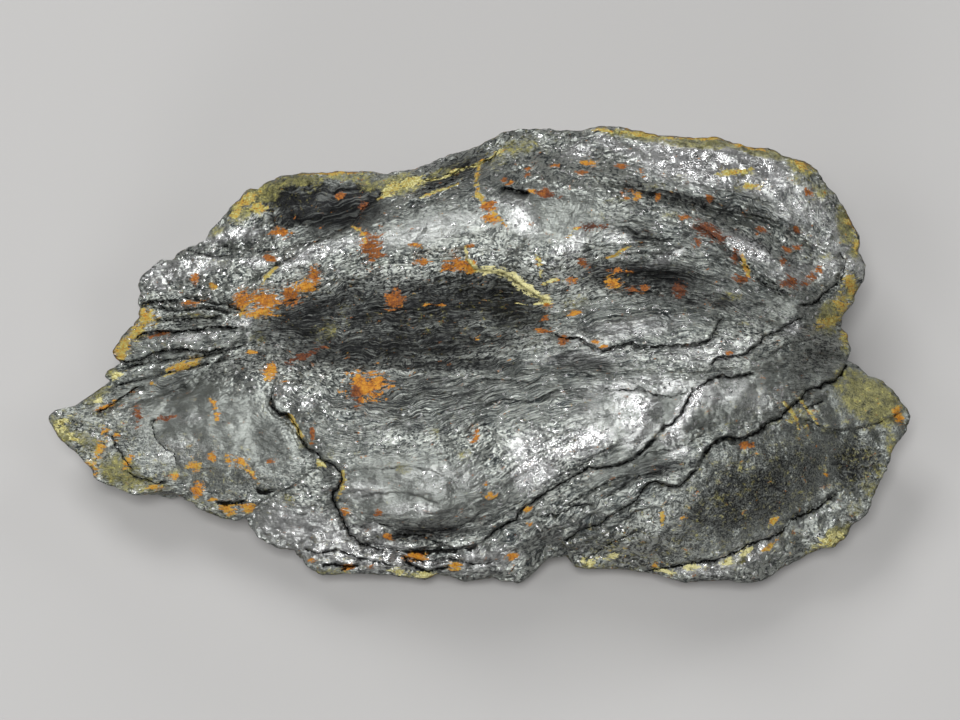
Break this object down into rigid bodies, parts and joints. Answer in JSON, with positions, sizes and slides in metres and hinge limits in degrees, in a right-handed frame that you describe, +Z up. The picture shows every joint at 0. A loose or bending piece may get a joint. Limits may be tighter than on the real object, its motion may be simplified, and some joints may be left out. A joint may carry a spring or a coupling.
{
  "type": "graphite specimen",
  "caption": "Broken lens of foliated graphite with a folded, silvery broad face, sheeted edges and a flat back that it lies on.",
  "frame": {"origin": "on the plane that the stone rests on, under the middle of its box", "axes": "+Z up through the thickness, out of the broad face; +X along the length, towards the rounded lobe and away from the thin tip; +Y towards the thicker back edge"},
  "size_m": [0.1484, 0.0792, 0.0367],
  "materials": {
    "graphite": "metallic grey sheen on smooth folds, dull and streaked in the hollows, with rust and yellow-green weathering in its cracks"
  },
  "bodies": {
    "root": {"graphite_specimen": "graphite"}
  },
  "joints": []
}
